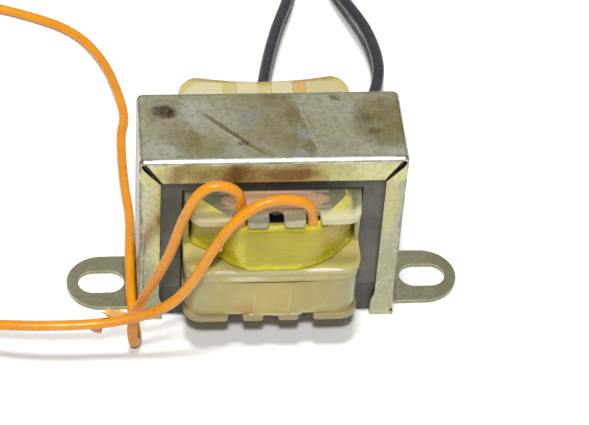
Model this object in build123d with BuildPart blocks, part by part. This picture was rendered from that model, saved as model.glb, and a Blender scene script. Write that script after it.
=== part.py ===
from build123d import *
import math
import os

# Small mains transformer: an E-I laminated core in a folded clamp, with a split bobbin and four leads.
# Millimetres, +Z up, the undersides of the feet on Z = 0, the secondary leads towards -Y.

# Core plates
core_width = 41.0
core_stack = 15.0
tongue_width = 13.0
leg_width = 6.0
yoke_height = 6.0
window_height = 22.0
plate_pitch = 0.5
plate_gap = 0.03
butt_gap = 0.05

# Clamp sheet, its lips, feet and locking tabs
sheet = 0.8
core_fit = 0.05
fold_radius = 1.0
top_lip = 4.6
side_lip = 3.4
lip_foot_width = 0.55
lip_foot_top = 5.4
lip_foot_slope = 1.8
mitre_inner_gap = 0.5
mitre_outer_gap = 1.1
mitre_rim = 0.9
mitre_depth = 1.4
foot_bend_radius = 0.5
slot_length = 7.8
slot_width = 5.2
slot_wall_gap = 2.0
slot_end_rim = 1.9
slot_side_rim = 3.3
relief_slit = 0.4
relief_height = 2.6
tab_length = 3.2

# Bobbin
bore_clearance = 0.2
tube_wall = 0.8
flange = 1.0
flange_reach = 8.2
flange_side_gap = 0.3
flange_corner = 3.0
apron_corner = 2.6
apron_taper = 0.9
flange_end_gap = 0.15
lower_section = 9.4
front_bend = 6.0
rear_bend = 23.0
rear_corner = 4.5
centre_notch = 2.4
side_notch = 2.35
side_notch_offset = 5.78
top_notch_depth = 2.5
bottom_notch_depth = 3.6
notch_corner = 0.6
pad_width = 17.4
pad_setback = 1.1
pad_depth = 4.4
pad_height = 0.5

# Window liners, and the barrier strip under the rear apron
liner = 0.8
liner_proud = 1.5
barrier = 0.4
barrier_setback = 1.0
barrier_overhang = 1.5
barrier_corner = 3.2
barrier_dip = 0.9

# Windings and their wraps
section_gap = 0.1
wrap_clearance = 0.05
film = 0.2
tape = 0.25
tape_corner = 1.2
tape_flat = 14.2
tape_side_proud = 1.1
tape_side_gap = 0.5
tape_end_inset = 0.4
primary_corner = 3.0
primary_side_gap = 0.65

# Cover band round the primary
cover = 0.55
cover_side_inset = 0.2
cover_end_inset = 0.6
cover_corner = 3.4
cover_rim = 0.3
cover_rim_height = 1.8
cover_lap = 0.25
cover_lap_width = 5.8

# Leads
orange_diameter = 1.7
black_diameter = 2.2
bare_diameter = 0.9
bare_length = 6.0
splice_diameter = 1.3
splice_length = 4.0
corner_share = 0.45

# Levels and places worked out from the sizes above
window_width = (core_width - tongue_width) / 2 - leg_width
core_bottom = sheet
core_top = core_bottom + 2 * yoke_height + window_height
window_bottom = core_bottom + yoke_height
window_top = window_bottom + window_height
clamp_width = core_width + 2 * (core_fit + sheet)
clamp_depth = core_stack + 2 * (core_fit + sheet)
clamp_height = core_top + core_fit + sheet
slot_spacing = clamp_width + 2 * slot_wall_gap + slot_length
foot_span = slot_spacing + slot_length + 2 * slot_end_rim
foot_width = slot_width + 2 * slot_side_rim
plate = plate_pitch - plate_gap
plate_pairs = round(core_stack / plate_pitch / 2)
flange_width = core_width - 2 * (leg_width + flange_side_gap)
flange_depth = core_stack + 2 * flange_reach
bore_width = tongue_width + 2 * bore_clearance
bore_depth = core_stack + 2 * bore_clearance
tube_width = bore_width + 2 * tube_wall
tube_depth = bore_depth + 2 * tube_wall
bobbin_bottom = window_bottom + flange_end_gap
bobbin_top = window_top - flange_end_gap
primary_bottom = bobbin_bottom + flange
primary_top = primary_bottom + lower_section
secondary_bottom = primary_top + flange
secondary_top = bobbin_top - flange
cover_width = flange_width - 2 * cover_side_inset
cover_depth = flange_depth - 2 * cover_end_inset
primary_width = cover_width - 2 * (cover + primary_side_gap)
primary_depth = cover_depth - 2 * (cover + black_diameter + 2 * section_gap)
tape_width = flange_width - 2 * (liner + tape_side_gap)
tape_depth = flange_depth - 2 * tape_end_inset
tape_side = core_stack + 2 * tape_side_proud
film_depth = tape_depth - 2 * (tape + orange_diameter + 2 * section_gap)

os.makedirs("parts", exist_ok=True)


def finish(piece, name):
    """Label a finished piece and write it to its own file."""
    piece.part.label = name
    export_step(piece.part, f"parts/{name}.step")


def notch_sketch(edge_y, depth):
    """The three notches of a flange edge, running in from the line y = edge_y towards the core."""
    inward = -math.copysign(depth, edge_y)
    overhang = math.copysign(flange_reach, edge_y)
    middle = edge_y + (inward + overhang) / 2
    length = depth + flange_reach
    with Locations((0, middle)):
        Rectangle(centre_notch, length, mode=Mode.SUBTRACT)
    with Locations((-side_notch_offset, middle), (side_notch_offset, middle)):
        Rectangle(side_notch, length, mode=Mode.SUBTRACT)


def coil_plan():
    """The plan of the upper coil in its tape: flat at the front, rear and sides, with slanting corners."""
    outline = Polygon(
        (tape_flat / 2, -tape_depth / 2),
        (tape_width / 2, -tape_side / 2),
        (tape_width / 2, tape_side / 2),
        (tape_flat / 2, tape_depth / 2),
        (-tape_flat / 2, tape_depth / 2),
        (-tape_width / 2, tape_side / 2),
        (-tape_width / 2, -tape_side / 2),
        (-tape_flat / 2, -tape_depth / 2),
        align=None,
    )
    fillet(outline.vertices(), tape_corner)


# Clamp: one folded sheet, open below, with lips over the front and rear edges of the core
with BuildPart() as clamp_frame:
    with BuildSketch():
        Rectangle(clamp_width, clamp_depth)
    extrude(amount=clamp_height)
    top_folds = clamp_frame.faces().sort_by(Axis.Z)[-1].edges()
    upright_folds = clamp_frame.edges().filter_by(Axis.Z)
    fillet(top_folds + upright_folds, fold_radius)
    with BuildSketch():
        Rectangle(core_width + 2 * core_fit, core_stack + 2 * core_fit)
    extrude(amount=core_top + core_fit, mode=Mode.SUBTRACT)

    # Opening between the lips, with the lips a little wider at their lower ends
    lip_x = clamp_width / 2 - side_lip
    lip_z = clamp_height - top_lip
    with BuildSketch(Plane.XZ):
        with BuildLine():
            Polyline(
                (lip_x - lip_foot_width, 0),
                (lip_x - lip_foot_width, lip_foot_top - lip_foot_slope),
                (lip_x, lip_foot_top),
                (lip_x, lip_z),
                (-lip_x, lip_z),
                (-lip_x, lip_foot_top),
                (-lip_x + lip_foot_width, lip_foot_top - lip_foot_slope),
                (-lip_x + lip_foot_width, 0),
                close=True,
            )
        make_face()
    extrude(amount=clamp_depth, both=True, mode=Mode.SUBTRACT)

    # Open mitres between the top lip and the side lips, widening from the inner corner to the folds
    mitre_x = clamp_width / 2 - mitre_rim
    mitre_z = clamp_height - mitre_rim * top_lip / side_lip
    for face in (-1, 1):
        for side in (-1, 1):
            with BuildSketch(Plane.XZ.offset(face * (clamp_depth - mitre_depth) / 2)):
                with Locations((side * lip_x, lip_z)):
                    Circle(mitre_inner_gap / 2)
                with Locations((side * mitre_x, mitre_z)):
                    Circle(mitre_outer_gap / 2)
                make_hull()
            extrude(amount=mitre_depth / 2, both=True, mode=Mode.SUBTRACT)

    # Locking tabs, turned in under the core beside each foot
    wall_middle = (clamp_width - sheet) / 2
    tab_width = (clamp_depth - foot_width) / 2 - relief_slit
    tab_y = (clamp_depth - tab_width) / 2
    with BuildSketch():
        with GridLocations(2 * wall_middle - tab_length, 2 * tab_y, 2, 2):
            Rectangle(tab_length + sheet, tab_width)
    extrude(amount=sheet)

    # Feet: the middle of each wall, slit free and turned outwards, with a round end and a slot
    foot_radius = foot_width / 2
    foot_end = foot_span / 2 - foot_radius
    with BuildSketch():
        with GridLocations(2 * wall_middle, 0, 2, 1):
            Rectangle(2 * sheet, foot_width + 2 * relief_slit)
    extrude(amount=relief_height, mode=Mode.SUBTRACT)
    for side in (-1, 1):
        with BuildSketch(Plane.XZ):
            with BuildLine():
                FilletPolyline(
                    (side * wall_middle, relief_height),
                    (side * wall_middle, sheet / 2),
                    (side * foot_end, sheet / 2),
                    radius=foot_bend_radius + sheet / 2,
                )
            trace(line_width=sheet)
        extrude(amount=foot_radius, both=True)
    with BuildSketch():
        with GridLocations(2 * foot_end, 0, 2, 1):
            Circle(foot_radius)
    extrude(amount=sheet)
    with BuildSketch():
        with GridLocations(slot_spacing, 0, 2, 1):
            SlotOverall(slot_length, slot_width)
    extrude(amount=sheet, mode=Mode.SUBTRACT)

finish(clamp_frame, "clamp_frame")

# Core: E plates with the yoke up and down in turn, each closed by an I plate
e_height = yoke_height + window_height - butt_gap
pair_planes = [Plane.XZ.offset(core_stack / 2 - (2 * i + 1) * plate_pitch) for i in range(plate_pairs)]
front_planes = [plane.offset(plate_gap / 2) for plane in pair_planes]
back_planes = [plane.offset(plate_gap / 2 - plate_pitch) for plane in pair_planes]
window_x = (tongue_width + window_width) / 2

with BuildPart() as e_laminations_yoke_up:
    with BuildSketch(*front_planes):
        with Locations((0, core_top)):
            Rectangle(core_width, e_height, align=(Align.CENTER, Align.MAX))
        with Locations((-window_x, window_top), (window_x, window_top)):
            Rectangle(window_width, window_height, align=(Align.CENTER, Align.MAX), mode=Mode.SUBTRACT)
    extrude(amount=plate)
finish(e_laminations_yoke_up, "e_laminations_yoke_up")

with BuildPart() as i_laminations_bottom:
    with BuildSketch(*front_planes):
        with Locations((0, core_bottom)):
            Rectangle(core_width, yoke_height, align=(Align.CENTER, Align.MIN))
    extrude(amount=plate)
finish(i_laminations_bottom, "i_laminations_bottom")

with BuildPart() as e_laminations_yoke_down:
    with BuildSketch(*back_planes):
        with Locations((0, core_bottom)):
            Rectangle(core_width, e_height, align=(Align.CENTER, Align.MIN))
        with Locations((-window_x, window_bottom), (window_x, window_bottom)):
            Rectangle(window_width, window_height, align=(Align.CENTER, Align.MIN), mode=Mode.SUBTRACT)
    extrude(amount=plate)
finish(e_laminations_yoke_down, "e_laminations_yoke_down")

with BuildPart() as i_laminations_top:
    with BuildSketch(*back_planes):
        with Locations((0, core_top)):
            Rectangle(core_width, yoke_height, align=(Align.CENTER, Align.MAX))
    extrude(amount=plate)
finish(i_laminations_top, "i_laminations_top")

# Top flange of the bobbin: flat in the windows, its front and rear aprons bent upwards
fold_y = core_stack / 2
notch_reach = side_notch_offset + (side_notch + notch_corner) / 2
flange_middle = bobbin_top - flange / 2
front_angle = math.radians(front_bend)
rear_angle = math.radians(rear_bend)
front_edge = -fold_y - flange_reach * math.cos(front_angle)
front_level = flange_middle + flange_reach * math.sin(front_angle)
rear_edge = fold_y + flange_reach * math.cos(rear_angle)
rear_level = flange_middle + flange_reach * math.sin(rear_angle)
with BuildPart() as top_flange:
    with BuildSketch(Plane.YZ):
        with BuildLine():
            Polyline(
                (front_edge, front_level),
                (-fold_y, flange_middle),
                (fold_y, flange_middle),
                (rear_edge, rear_level),
            )
        trace(line_width=flange)
    extrude(amount=flange_width / 2, both=True)

    # Raised pad in front of the yoke
    pad_plane = Plane(
        origin=(0, -fold_y, bobbin_top),
        x_dir=(1, 0, 0),
        z_dir=(0, math.sin(front_angle), math.cos(front_angle)),
    )
    with BuildSketch(pad_plane):
        with Locations((0, -pad_setback)):
            Rectangle(pad_width, pad_depth, align=(Align.CENTER, Align.MAX))
    extrude(amount=pad_height)

    # Plan outline: a front apron that narrows, rounded corners and the lead notches
    flange_x = flange_width / 2
    with BuildSketch() as top_plan:
        with BuildLine():
            Polyline(
                (flange_x - apron_taper, front_edge),
                (flange_x, -fold_y),
                (flange_x, rear_edge),
                (-flange_x, rear_edge),
                (-flange_x, -fold_y),
                (apron_taper - flange_x, front_edge),
                close=True,
            )
        make_face()
        fillet(top_plan.vertices().group_by(Axis.Y)[0], apron_corner)
        fillet(top_plan.vertices().group_by(Axis.Y)[-1], rear_corner)
        notch_sketch(front_edge, top_notch_depth)
        notch_sketch(rear_edge, top_notch_depth)
        fillet(top_plan.vertices().filter_by_position(Axis.X, -notch_reach, notch_reach), notch_corner)
    extrude(amount=clamp_height, mode=Mode.INTERSECT)

# Bobbin: a square tube on the tongue with a flange below, between and above the two windings
with BuildPart() as bobbin:
    with BuildSketch(Plane.XY.offset(bobbin_bottom)) as bottom_plan:
        RectangleRounded(flange_width, flange_depth, flange_corner)
        notch_sketch(-flange_depth / 2, bottom_notch_depth)
        notch_sketch(flange_depth / 2, bottom_notch_depth)
        fillet(bottom_plan.vertices().filter_by_position(Axis.X, -notch_reach, notch_reach), notch_corner)
    extrude(amount=flange)
    with BuildSketch(Plane.XY.offset(primary_top)):
        RectangleRounded(flange_width, flange_depth, flange_corner)
    extrude(amount=flange)
    add(top_flange.part)
    with BuildSketch(Plane.XY.offset(bobbin_bottom)):
        Rectangle(tube_width, tube_depth)
    extrude(amount=bobbin_top - bobbin_bottom)
    with BuildSketch(Plane.XY.offset(bobbin_bottom)):
        Rectangle(bore_width, bore_depth)
    extrude(amount=clamp_height, mode=Mode.SUBTRACT)
finish(bobbin, "bobbin")

# Barrier: a flexible strip tucked under the rear apron, whose edge dips between its round corners
barrier_end = flange_reach + barrier_overhang
rear_apron = Plane(
    origin=(0, fold_y, flange_middle),
    x_dir=(1, 0, 0),
    z_dir=(0, -math.sin(rear_angle), math.cos(rear_angle)),
)
with BuildPart() as rear_barrier:
    with BuildSketch(rear_apron.offset(-flange / 2 - wrap_clearance)) as barrier_plan:
        with Locations((0, barrier_setback)):
            Rectangle(flange_width, barrier_end - barrier_setback, align=(Align.CENTER, Align.MIN))
        fillet(barrier_plan.vertices().group_by(Axis.Y)[-1], barrier_corner)
        with BuildLine():
            dip_x = flange_width / 2 - barrier_corner
            ThreePointArc((-dip_x, barrier_end), (0, barrier_end - barrier_dip), (dip_x, barrier_end))
            Line((dip_x, barrier_end), (-dip_x, barrier_end))
        make_face(mode=Mode.SUBTRACT)
    extrude(amount=-barrier)
finish(rear_barrier, "rear_barrier")

# Window liners: nylon strips between the upper winding and the outer legs
with BuildPart() as window_liners:
    with BuildSketch(Plane.XY.offset(secondary_bottom)):
        liner_x = (flange_width - liner) / 2
        with Locations((-liner_x, 0), (liner_x, 0)):
            Rectangle(liner, core_stack + 2 * liner_proud)
    extrude(amount=secondary_top - secondary_bottom)
finish(window_liners, "window_liners")

# Primary winding, its tape and the cover band round the lower section
primary_plane = Plane.XY.offset(primary_bottom + section_gap)
primary_height = primary_top - primary_bottom - 2 * section_gap
with BuildPart() as primary_winding:
    with BuildSketch(primary_plane):
        RectangleRounded(primary_width, primary_depth, primary_corner)
        offset(amount=-(tape + wrap_clearance))
        Rectangle(tube_width + 2 * wrap_clearance, tube_depth + 2 * wrap_clearance, mode=Mode.SUBTRACT)
    extrude(amount=primary_height)
finish(primary_winding, "primary_winding")

with BuildPart() as primary_tape:
    with BuildSketch(primary_plane):
        RectangleRounded(primary_width, primary_depth, primary_corner)
        offset(amount=-tape, mode=Mode.SUBTRACT)
    extrude(amount=primary_height)
finish(primary_tape, "primary_tape")

with BuildPart() as primary_cover:
    with BuildSketch(Plane.XY.offset(primary_bottom)):
        RectangleRounded(cover_width, cover_depth, cover_corner)
        offset(amount=-cover, mode=Mode.SUBTRACT)
        with Locations((0, -cover_depth / 2)):
            Rectangle(cover_lap_width, cover_lap, align=(Align.CENTER, Align.MAX))
    extrude(amount=lower_section)
    with BuildSketch(Plane.XY.offset(primary_top)):
        RectangleRounded(cover_width, cover_depth, cover_corner)
        offset(amount=cover_rim)
        RectangleRounded(cover_width, cover_depth, cover_corner, mode=Mode.SUBTRACT)
    extrude(amount=-cover_rim_height)
finish(primary_cover, "primary_cover")

# Secondary winding, the dark film over it, and the yellow tape that takes in the lead joints
secondary_plane = Plane.XY.offset(secondary_bottom + section_gap)
secondary_height = secondary_top - secondary_bottom - 2 * section_gap
with BuildSketch() as film_plan:
    coil_plan()
    offset(amount=-(tape + wrap_clearance))
    Rectangle(tape_width, film_depth, mode=Mode.INTERSECT)

with BuildPart() as secondary_winding:
    with BuildSketch(secondary_plane):
        add(film_plan.sketch)
        offset(amount=-(film + wrap_clearance))
        Rectangle(tube_width + 2 * wrap_clearance, tube_depth + 2 * wrap_clearance, mode=Mode.SUBTRACT)
    extrude(amount=secondary_height)
finish(secondary_winding, "secondary_winding")

with BuildPart() as secondary_inner_tape:
    with BuildSketch(secondary_plane):
        add(film_plan.sketch)
        offset(amount=-film, mode=Mode.SUBTRACT)
    extrude(amount=secondary_height)
finish(secondary_inner_tape, "secondary_inner_tape")

with BuildPart() as secondary_tape:
    with BuildSketch(secondary_plane):
        coil_plan()
        offset(amount=-tape, mode=Mode.SUBTRACT)
    extrude(amount=secondary_height)
finish(secondary_tape, "secondary_tape")

# Leads: each leaves its winding through a side notch and ends in stripped, tinned strands
orange_y = -(tape_depth / 2 - tape - section_gap - orange_diameter / 2)
black_y = cover_depth / 2 - cover - section_gap - black_diameter / 2
orange_left_route = [
    (-5.5, orange_y, 23.6),
    (-5.55, orange_y, 29.2),
    (-5.9, -14.3, 35.2),
    (-11.2, -14.5, 36.7),
    (-14.4, -14.4, 30.6),
    (-16.6, -14.2, 20.8),
    (-20.2, -14.3, 12.6),
    (-22.6, -14.9, 7.2),
    (-22.5, -15.9, 2.5),
    (-21.6, -13.8, 0.95),
    (-22.1, -10.6, 1.1),
    (-23.3, -6.6, 2.55),
    (-23.4, 0.2, 2.5),
    (-23.0, 6.6, 2.45),
    (-22.2, 16.0, 0.9),
    (-21.6, 31.0, 0.9),
    (-22.6, 45.5, 0.9),
    (-25.2, 57.0, 0.9),
    (-30.8, 66.0, 0.9),
    (-41.0, 71.4, 0.9),
    (-52.0, 75.2, 0.9),
    (-61.0, 80.0, 0.9),
]
orange_right_route = [
    (5.9, orange_y, 23.8),
    (5.95, orange_y, 28.2),
    (5.0, -14.6, 32.6),
    (-1.2, -15.3, 34.1),
    (-6.5, -16.5, 31.1),
    (-10.1, -17.2, 25.0),
    (-13.1, -17.7, 18.0),
    (-17.3, -17.6, 12.0),
    (-26.0, -17.2, 8.7),
    (-36.0, -17.3, 8.5),
    (-45.5, -16.0, 7.8),
    (-54.0, -12.0, 4.6),
    (-60.2, -4.8, 1.8),
    (-62.8, 4.8, 0.9),
    (-61.2, 14.8, 0.9),
    (-56.8, 23.8, 0.9),
    (-53.0, 33.0, 0.9),
    (-52.6, 42.6, 0.9),
]
black_left_route = [
    (-5.78, black_y, 11.0),
    (-5.7, black_y, 3.3),
    (-4.4, 22.6, 3.7),
    (-0.6, 33.5, 3.9),
    (2.8, 43.5, 4.1),
    (4.6, 53.0, 4.2),
    (7.0, 62.5, 4.0),
    (9.9, 71.4, 3.2),
    (11.8, 80.5, 1.9),
    (9.6, 89.0, 1.2),
    (1.5, 94.6, 1.15),
    (-8.5, 95.4, 1.15),
]
black_right_route = [
    (5.78, black_y, 11.0),
    (5.9, black_y, 3.3),
    (9.4, 21.9, 3.7),
    (16.0, 30.6, 4.0),
    (22.2, 39.0, 4.2),
    (25.2, 48.5, 5.1),
    (24.0, 58.5, 5.6),
    (21.2, 67.0, 5.0),
    (18.6, 75.6, 3.4),
    (18.4, 84.6, 1.7),
    (23.6, 92.0, 1.2),
    (32.6, 95.4, 1.15),
    (42.4, 94.8, 1.15),
]


def bend_radii(route):
    """The largest radius that each corner of a route has room for."""
    radii = []
    for before, corner, after in zip(route, route[1:], route[2:]):
        run_in = Vector(corner) - Vector(before)
        run_out = Vector(after) - Vector(corner)
        half_turn = math.radians(run_in.get_angle(run_out)) / 2
        radii.append(corner_share * min(run_in.length, run_out.length) / math.tan(half_turn))
    return radii


leads = {
    "orange_lead_left": (orange_left_route, orange_diameter),
    "orange_lead_right": (orange_right_route, orange_diameter),
    "black_lead_left": (black_left_route, black_diameter),
    "black_lead_right": (black_right_route, black_diameter),
}
for name, (route, diameter) in leads.items():
    radii = bend_radii(route)
    with BuildPart() as lead:
        with BuildLine() as lead_path:
            FilletPolyline(*route, radius=radii)
        with BuildSketch(Plane(origin=lead_path.line @ 0, z_dir=lead_path.line % 0)):
            Circle(diameter / 2)
        sweep()
    finish(lead, name)
    with BuildPart() as bare_end:
        with BuildSketch(Plane(origin=lead_path.line @ 1, z_dir=lead_path.line % 1)):
            Circle(bare_diameter / 2)
        extrude(amount=bare_length)
    finish(bare_end, f"{name}_bare_end")
    length = lead_path.wire().length
    volume_share = lead.part.volume / (length * math.pi * diameter**2 / 4)
    print(name, "length", round(length, 1), "volume share", round(volume_share, 4))
    print("  bend radii", [round(radius, 1) for radius in radii])

# Splices: the soldered joints between winding wire and leads, under the wraps
with BuildPart() as secondary_splices:
    for route in (orange_left_route, orange_right_route):
        with BuildSketch(Plane(origin=route[0], z_dir=Vector(route[0]) - Vector(route[1]))):
            Circle(splice_diameter / 2)
        extrude(amount=splice_length)
finish(secondary_splices, "secondary_splices")

with BuildPart() as primary_splices:
    for route in (black_left_route, black_right_route):
        with BuildSketch(Plane(origin=route[0], z_dir=Vector(route[0]) - Vector(route[1]))):
            Circle(splice_diameter / 2)
        extrude(amount=splice_length)
finish(primary_splices, "primary_splices")
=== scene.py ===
import math

import bmesh
import bpy
from mathutils import Matrix, Vector, noise


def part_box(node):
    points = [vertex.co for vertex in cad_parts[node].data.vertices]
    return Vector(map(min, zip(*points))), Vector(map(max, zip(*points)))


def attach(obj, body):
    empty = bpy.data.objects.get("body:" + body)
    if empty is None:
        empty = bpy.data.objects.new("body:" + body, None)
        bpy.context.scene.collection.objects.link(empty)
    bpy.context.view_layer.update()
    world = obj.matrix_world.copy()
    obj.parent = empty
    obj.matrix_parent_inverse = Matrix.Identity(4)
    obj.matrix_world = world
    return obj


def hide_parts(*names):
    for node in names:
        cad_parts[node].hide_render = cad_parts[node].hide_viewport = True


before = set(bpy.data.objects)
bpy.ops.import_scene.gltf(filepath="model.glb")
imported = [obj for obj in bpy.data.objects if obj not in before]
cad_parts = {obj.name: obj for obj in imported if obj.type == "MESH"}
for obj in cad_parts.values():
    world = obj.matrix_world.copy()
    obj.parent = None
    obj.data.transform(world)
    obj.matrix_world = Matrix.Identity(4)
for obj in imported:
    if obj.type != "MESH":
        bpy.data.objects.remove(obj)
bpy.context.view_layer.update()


# Core: E and I plates of electrical steel, stamped, oxide-coated and stacked in turn.
# The outer plate shows between the lips of the clamp, dull grey and lightly scratched.
# A shadow is painted on it under the clamp's top lip.
def srgb(red, green, blue):
    """A colour given by its screen values, as the linear colour that a shader takes."""
    brightest = 255
    toe = 0.04045
    toe_slope = 12.92
    lift = 0.055
    power = 2.4
    shares = [value / brightest for value in (red, green, blue)]
    linear = [
        share / toe_slope if share <= toe else ((share + lift) / (1 + lift)) ** power
        for share in shares
    ]
    return (*linear, 1.0)


def add_node(tree, kind, values=None, **settings):
    """Place a node in a tree, with its settings and the values of its unlinked sockets."""
    made = tree.nodes.new(kind)
    for name, value in settings.items():
        setattr(made, name, value)
    for socket, value in (values or {}).items():
        made.inputs[socket].default_value = value
    return made


def new_group(name, inputs):
    """An empty node group with the given inputs, whose one output is a mask from 0 to 1."""
    tree = bpy.data.node_groups.new(name, "ShaderNodeTree")
    for socket, kind, value in inputs:
        made = tree.interface.new_socket(socket, in_out="INPUT", socket_type=kind)
        made.default_value = value
    tree.interface.new_socket("Mask", in_out="OUTPUT", socket_type="NodeSocketFloat")
    return tree, tree.nodes.new("NodeGroupInput"), tree.nodes.new("NodeGroupOutput")


def new_material(name, **constants):
    """A material with one principled shader, whose constant sockets are set from their names."""
    material = bpy.data.materials.new(name)
    material.use_nodes = True
    shader = material.node_tree.nodes["Principled BSDF"]
    for socket, value in constants.items():
        shader.inputs[socket.replace("_", " ").title().replace("Ior", "IOR")].default_value = value
    return material, material.node_tree, shader


mottle_group, mottle_in, mottle_out = new_group("surface_mottle", [
    ("Scale", "NodeSocketFloat", 100.0),
    ("Detail", "NodeSocketFloat", 3.0),
    ("Stretch", "NodeSocketVector", (1.0, 1.0, 1.0)),
    ("Low", "NodeSocketFloat", 0.4),
    ("High", "NodeSocketFloat", 0.6),
])
place = add_node(mottle_group, "ShaderNodeTexCoord")
stretched = add_node(mottle_group, "ShaderNodeVectorMath", operation="MULTIPLY")
cloud = add_node(mottle_group, "ShaderNodeTexNoise")
levels = add_node(mottle_group, "ShaderNodeMapRange", interpolation_type="SMOOTHSTEP")
for start, end in (
    (place.outputs["Object"], stretched.inputs[0]),
    (mottle_in.outputs["Stretch"], stretched.inputs[1]),
    (stretched.outputs["Vector"], cloud.inputs["Vector"]),
    (mottle_in.outputs["Scale"], cloud.inputs["Scale"]),
    (mottle_in.outputs["Detail"], cloud.inputs["Detail"]),
    (cloud.outputs["Fac"], levels.inputs["Value"]),
    (mottle_in.outputs["Low"], levels.inputs["From Min"]),
    (mottle_in.outputs["High"], levels.inputs["From Max"]),
    (levels.outputs["Result"], mottle_out.inputs["Mask"]),
):
    mottle_group.links.new(start, end)


def mottle(tree, scale, low=0.4, high=0.6, stretch=(1, 1, 1), detail=3):
    """A cloudy mask over a surface, with about scale clouds to the metre."""
    values = {"Scale": scale, "Detail": detail, "Stretch": stretch, "Low": low, "High": high}
    return add_node(tree, "ShaderNodeGroup", values, node_tree=mottle_group).outputs["Mask"]


def tint(tree, mask, under, over, share=1.0):
    """The colour under, turned to the colour over where the mask is full, up to the given share."""
    factor_socket = 0
    under_socket = 6
    over_socket = 7
    mixed_socket = 2
    mix = add_node(tree, "ShaderNodeMix", data_type="RGBA")
    if share < 1:
        part = add_node(tree, "ShaderNodeMath", {1: share}, operation="MULTIPLY")
        tree.links.new(mask, part.inputs[0])
        mask = part.outputs[0]
    tree.links.new(mask, mix.inputs[factor_socket])
    for socket, colour in ((under_socket, under), (over_socket, over)):
        if isinstance(colour, tuple):
            mix.inputs[socket].default_value = colour
        else:
            tree.links.new(colour, mix.inputs[socket])
    return mix.outputs[mixed_socket]


def spread(tree, mask, low, high):
    """A value that runs from low to high with a mask."""
    levels = add_node(tree, "ShaderNodeMapRange", {"To Min": low, "To Max": high})
    tree.links.new(mask, levels.inputs["Value"])
    return levels.outputs["Result"]


def raise_surface(tree, shader, layers):
    """Bump a shader's surface by several masks, each with its height in metres."""
    below = None
    for mask, height in layers:
        bump = add_node(tree, "ShaderNodeBump", {"Strength": 1.0, "Distance": height})
        tree.links.new(mask, bump.inputs["Height"])
        if below:
            tree.links.new(below, bump.inputs["Normal"])
        below = bump.outputs["Normal"]
    tree.links.new(below, shader.inputs["Normal"])


def dress(node, material):
    """Give a solid that keeps its own shape its finish."""
    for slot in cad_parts[node].material_slots:
        slot.material = material


stain_group, stain_in, stain_out = new_group("stain_patch", [
    ("Centre", "NodeSocketVector", (0.0, 0.0, 0.0)),
    ("Half Size", "NodeSocketVector", (0.01, 0.01, 0.01)),
    ("Turn", "NodeSocketFloat", 0.0),
    ("Softness", "NodeSocketFloat", 0.2),
    ("Wander", "NodeSocketFloat", 0.002),
    ("Grain", "NodeSocketFloat", 500.0),
    ("Thin", "NodeSocketFloat", 0.3),
])
ragged = {"Detail": 6.0, "Roughness": 0.66}
cloud_middle = (0.5, 0.5, 0.5)
bare_patches = {"From Min": 0.35, "From Max": 0.62}
place = add_node(stain_group, "ShaderNodeTexCoord")
offset = add_node(stain_group, "ShaderNodeVectorMath", operation="SUBTRACT")
cloud = add_node(stain_group, "ShaderNodeTexNoise", ragged)
centred = add_node(stain_group, "ShaderNodeVectorMath", {1: cloud_middle}, operation="SUBTRACT")
pushed = add_node(stain_group, "ShaderNodeVectorMath", operation="SCALE")
wandered = add_node(stain_group, "ShaderNodeVectorMath", operation="ADD")
turned = add_node(stain_group, "ShaderNodeVectorRotate", rotation_type="Z_AXIS")
sized = add_node(stain_group, "ShaderNodeVectorMath", operation="DIVIDE")
distance = add_node(stain_group, "ShaderNodeVectorMath", operation="LENGTH")
outer = add_node(stain_group, "ShaderNodeMath", {0: 1.0}, operation="ADD")
inner = add_node(stain_group, "ShaderNodeMath", {0: 1.0}, operation="SUBTRACT")
levels = add_node(stain_group, "ShaderNodeMapRange", interpolation_type="SMOOTHSTEP")
patchy = add_node(stain_group, "ShaderNodeMapRange", bare_patches)
gaps = add_node(stain_group, "ShaderNodeMath", operation="MULTIPLY")
kept = add_node(stain_group, "ShaderNodeMath", {0: 1.0}, operation="SUBTRACT")
uneven = add_node(stain_group, "ShaderNodeMath", operation="MULTIPLY")
for start, end in (
    (place.outputs["Object"], offset.inputs[0]),
    (stain_in.outputs["Centre"], offset.inputs[1]),
    (place.outputs["Object"], cloud.inputs["Vector"]),
    (stain_in.outputs["Grain"], cloud.inputs["Scale"]),
    (cloud.outputs["Color"], centred.inputs[0]),
    (centred.outputs["Vector"], pushed.inputs[0]),
    (stain_in.outputs["Wander"], pushed.inputs["Scale"]),
    (offset.outputs["Vector"], wandered.inputs[0]),
    (pushed.outputs["Vector"], wandered.inputs[1]),
    (wandered.outputs["Vector"], turned.inputs["Vector"]),
    (stain_in.outputs["Turn"], turned.inputs["Angle"]),
    (turned.outputs["Vector"], sized.inputs[0]),
    (stain_in.outputs["Half Size"], sized.inputs[1]),
    (sized.outputs["Vector"], distance.inputs[0]),
    (stain_in.outputs["Softness"], outer.inputs[1]),
    (stain_in.outputs["Softness"], inner.inputs[1]),
    (distance.outputs["Value"], levels.inputs["Value"]),
    (outer.outputs[0], levels.inputs["From Min"]),
    (inner.outputs[0], levels.inputs["From Max"]),
    (cloud.outputs["Fac"], patchy.inputs["Value"]),
    (patchy.outputs["Result"], gaps.inputs[0]),
    (stain_in.outputs["Thin"], gaps.inputs[1]),
    (gaps.outputs[0], kept.inputs[1]),
    (levels.outputs["Result"], uneven.inputs[0]),
    (kept.outputs[0], uneven.inputs[1]),
    (uneven.outputs[0], stain_out.inputs["Mask"]),
):
    stain_group.links.new(start, end)


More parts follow.
